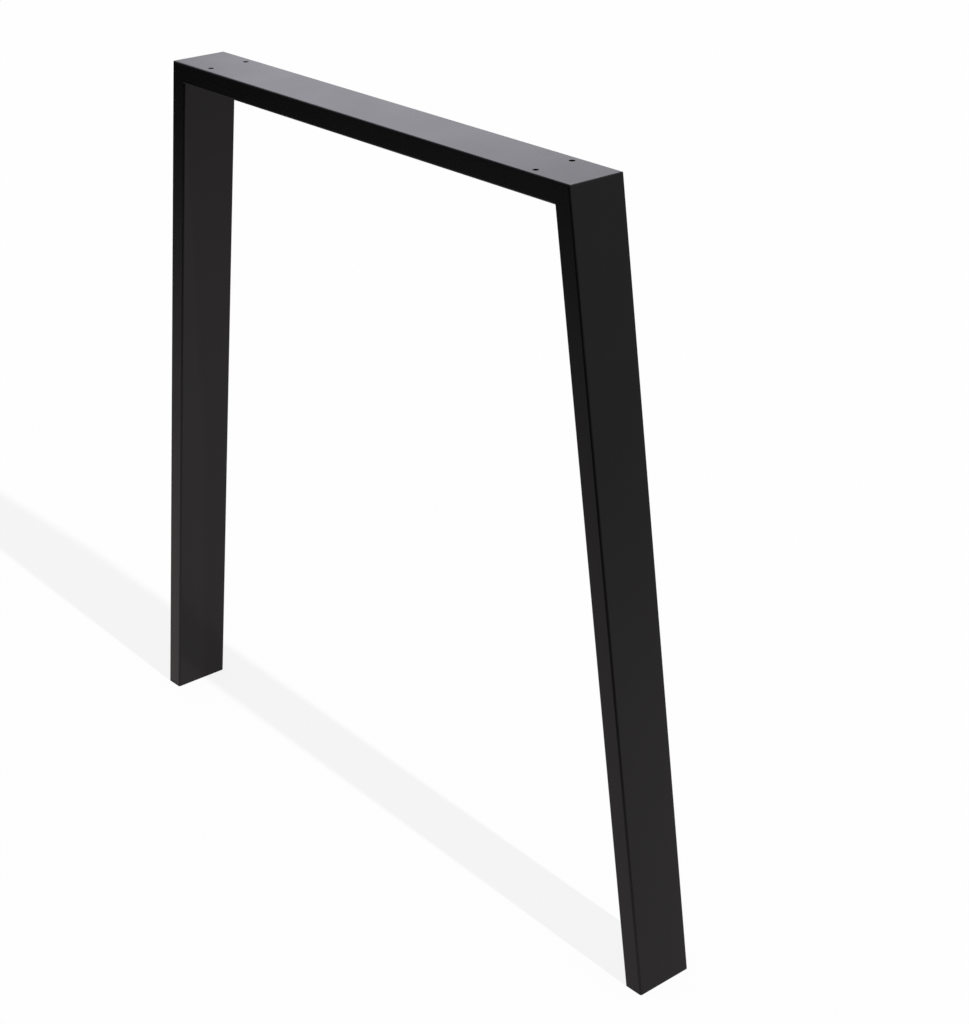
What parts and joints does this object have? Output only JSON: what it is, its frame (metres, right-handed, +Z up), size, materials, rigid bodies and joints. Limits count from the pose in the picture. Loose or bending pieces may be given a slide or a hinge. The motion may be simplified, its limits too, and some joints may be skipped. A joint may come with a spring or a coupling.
{
  "type": "trestle table leg",
  "caption": "Free-standing welded trapezoid frame of flat rectangular steel tube for one end of a table, with screw holes in its top bar and plastic plugs in its feet.",
  "frame": {"origin": "on the floor, under the middle of the crossbar", "axes": "+X along the crossbar, +Y across the frame's depth, +Z up to the table top"},
  "size_m": [0.7698, 0.06, 0.73],
  "materials": {
    "powder_coat": "fine satin black powder coat",
    "plug_plastic": "moulded black polyethylene"
  },
  "bodies": {
    "root": {"crossbar": "powder_coat", "left_leg": "powder_coat", "right_leg": "powder_coat", "left_foot_plug": "plug_plastic", "right_foot_plug": "plug_plastic"}
  },
  "joints": []
}
